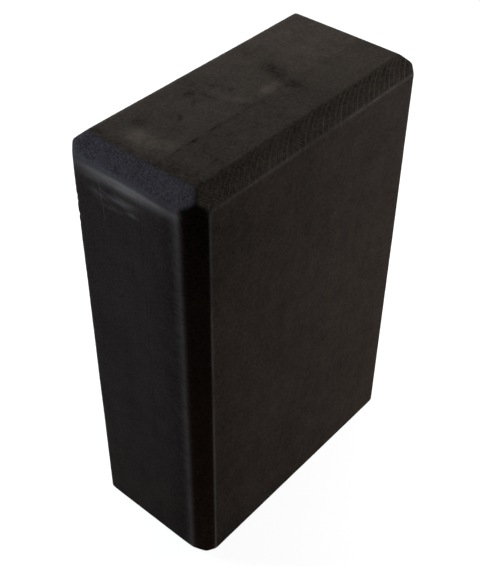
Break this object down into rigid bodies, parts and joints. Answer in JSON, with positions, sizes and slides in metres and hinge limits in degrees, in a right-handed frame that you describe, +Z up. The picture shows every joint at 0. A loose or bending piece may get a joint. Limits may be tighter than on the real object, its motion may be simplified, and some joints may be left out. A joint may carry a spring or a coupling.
{
  "type": "foam exercise block",
  "caption": "Rectangular foam block with broad bevels, laminated from bonded sheets, that supports a hand, foot or knee on any of its faces.",
  "frame": {"origin": "middle of the end face that the block stands on", "axes": "+Z up along the height, -Y out of the front large face, +X to the right as seen from the front"},
  "size_m": [0.15, 0.076, 0.229],
  "materials": {
    "foam": "matte",
    "adhesive": "satin"
  },
  "bodies": {
    "root": {"front_sheet": "foam", "rear_sheet": "foam", "adhesive_film": "adhesive"}
  },
  "joints": []
}
